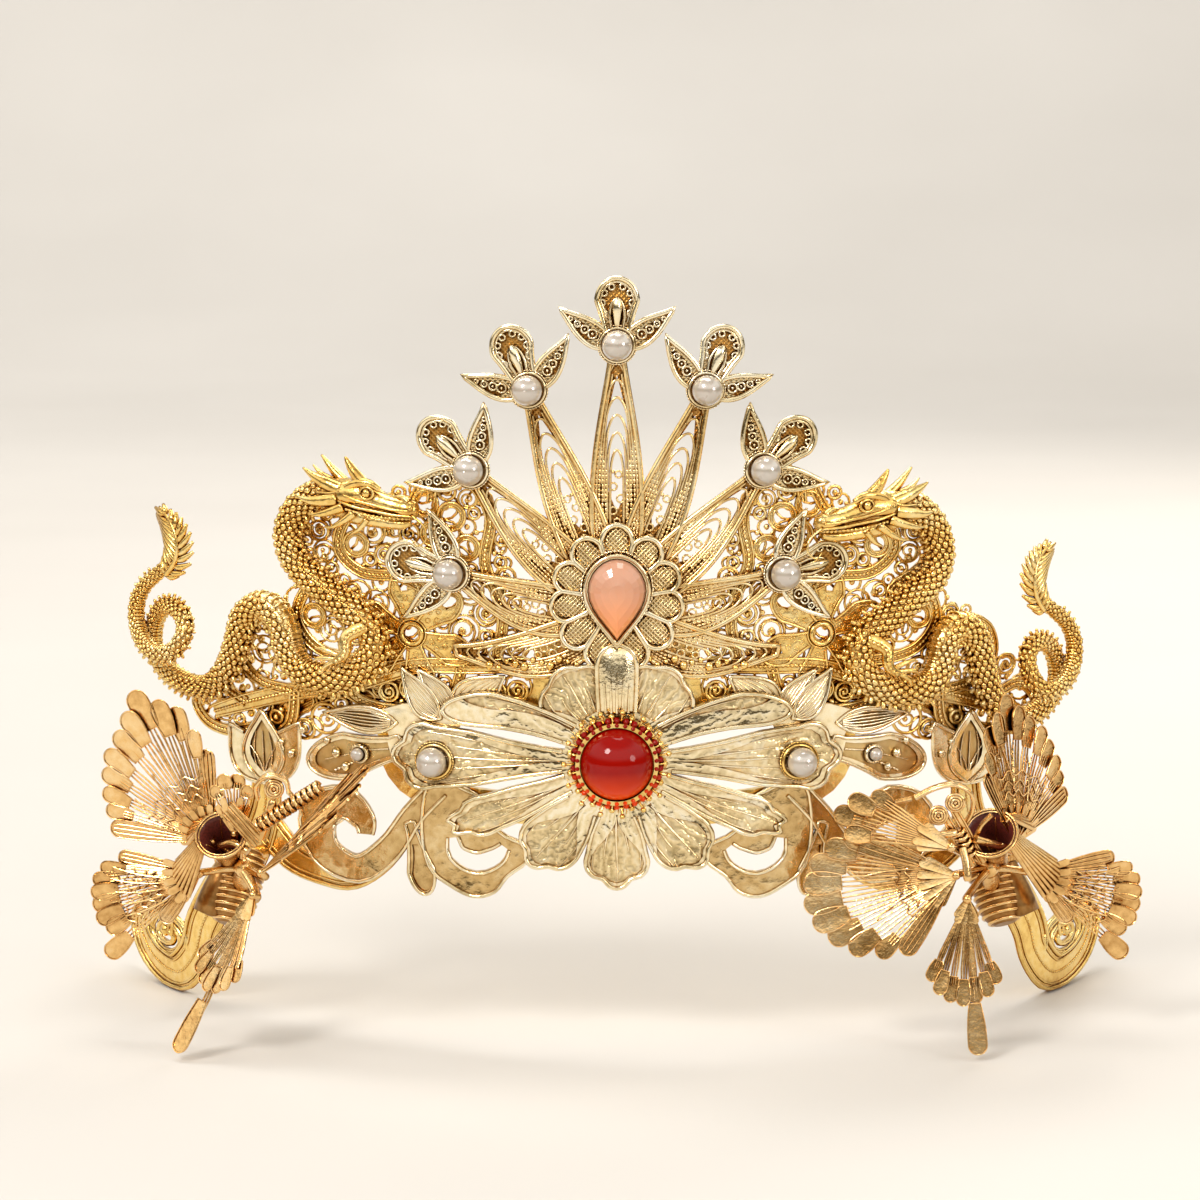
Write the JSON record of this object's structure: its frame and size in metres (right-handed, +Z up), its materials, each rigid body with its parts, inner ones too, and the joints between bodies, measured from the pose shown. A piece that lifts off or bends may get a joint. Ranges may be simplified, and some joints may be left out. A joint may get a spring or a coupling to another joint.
{
  "type": "phoenix crown",
  "caption": "Gilt bridal crown with a filigree fan, flower plate with red cabochon, pearls, a dragon and a trembling phoenix on each side.",
  "frame": {"origin": "bottom centre of the bounding box, on the floor", "axes": "+X to the viewer's right, +Y from the front of the crown to its open back, +Z up"},
  "size_m": [0.179, 0.0734, 0.1304],
  "materials": {
    "rich_gold": "polished yellow gilding",
    "pale_gold": "satin champagne gilding with bright rims",
    "rose_gold": "matt peach gilding on thin sheet",
    "pearl": "soft pearl lustre",
    "red_agate": "polished cabochon",
    "pink_stone": "polished translucent drop"
  },
  "bodies": {
    "root": {"base_frame": "rich_gold", "side_panel_left": "rich_gold", "side_panel_right": "rich_gold", "lower_leaf_left": "pale_gold", "lower_leaf_right": "pale_gold", "flower_plate": "pale_gold", "agate_bezel": "rich_gold", "agate": "red_agate", "plate_pearl_left": "pearl", "plate_pearl_right": "pearl", "fan": "pale_gold", "rosette": "pale_gold", "drop_bezel": "rich_gold", "drop_stone": "pink_stone", "tip_flower_1": "pale_gold", "tip_flower_2": "pale_gold", "tip_flower_3": "pale_gold", "tip_flower_4": "pale_gold", "tip_flower_5": "pale_gold", "tip_flower_6": "pale_gold", "tip_flower_7": "pale_gold", "tip_pearl_1": "pearl", "tip_pearl_2": "pearl", "tip_pearl_3": "pearl", "tip_pearl_4": "pearl", "tip_pearl_5": "pearl", "tip_pearl_6": "pearl", "tip_pearl_7": "pearl", "bud_spray_left": "pale_gold", "bud_spray_right": "pale_gold", "lotus_left": "pale_gold", "lotus_right": "pale_gold", "small_pearl_left": "pearl", "small_pearl_right": "pearl", "dragon_left": "rich_gold", "dragon_right": "rich_gold", "phoenix_body_left": "rose_gold", "phoenix_body_right": "rose_gold", "upper_wing_left": "rose_gold", "upper_wing_right": "rose_gold", "lower_wing_left": "rose_gold", "lower_wing_right": "rose_gold", "inner_wing_left": "rose_gold", "inner_wing_right": "rose_gold", "breast_wing_left": "rose_gold", "breast_wing_right": "rose_gold", "tail_left": "rose_gold", "tail_right": "rose_gold"}
  },
  "joints": []
}
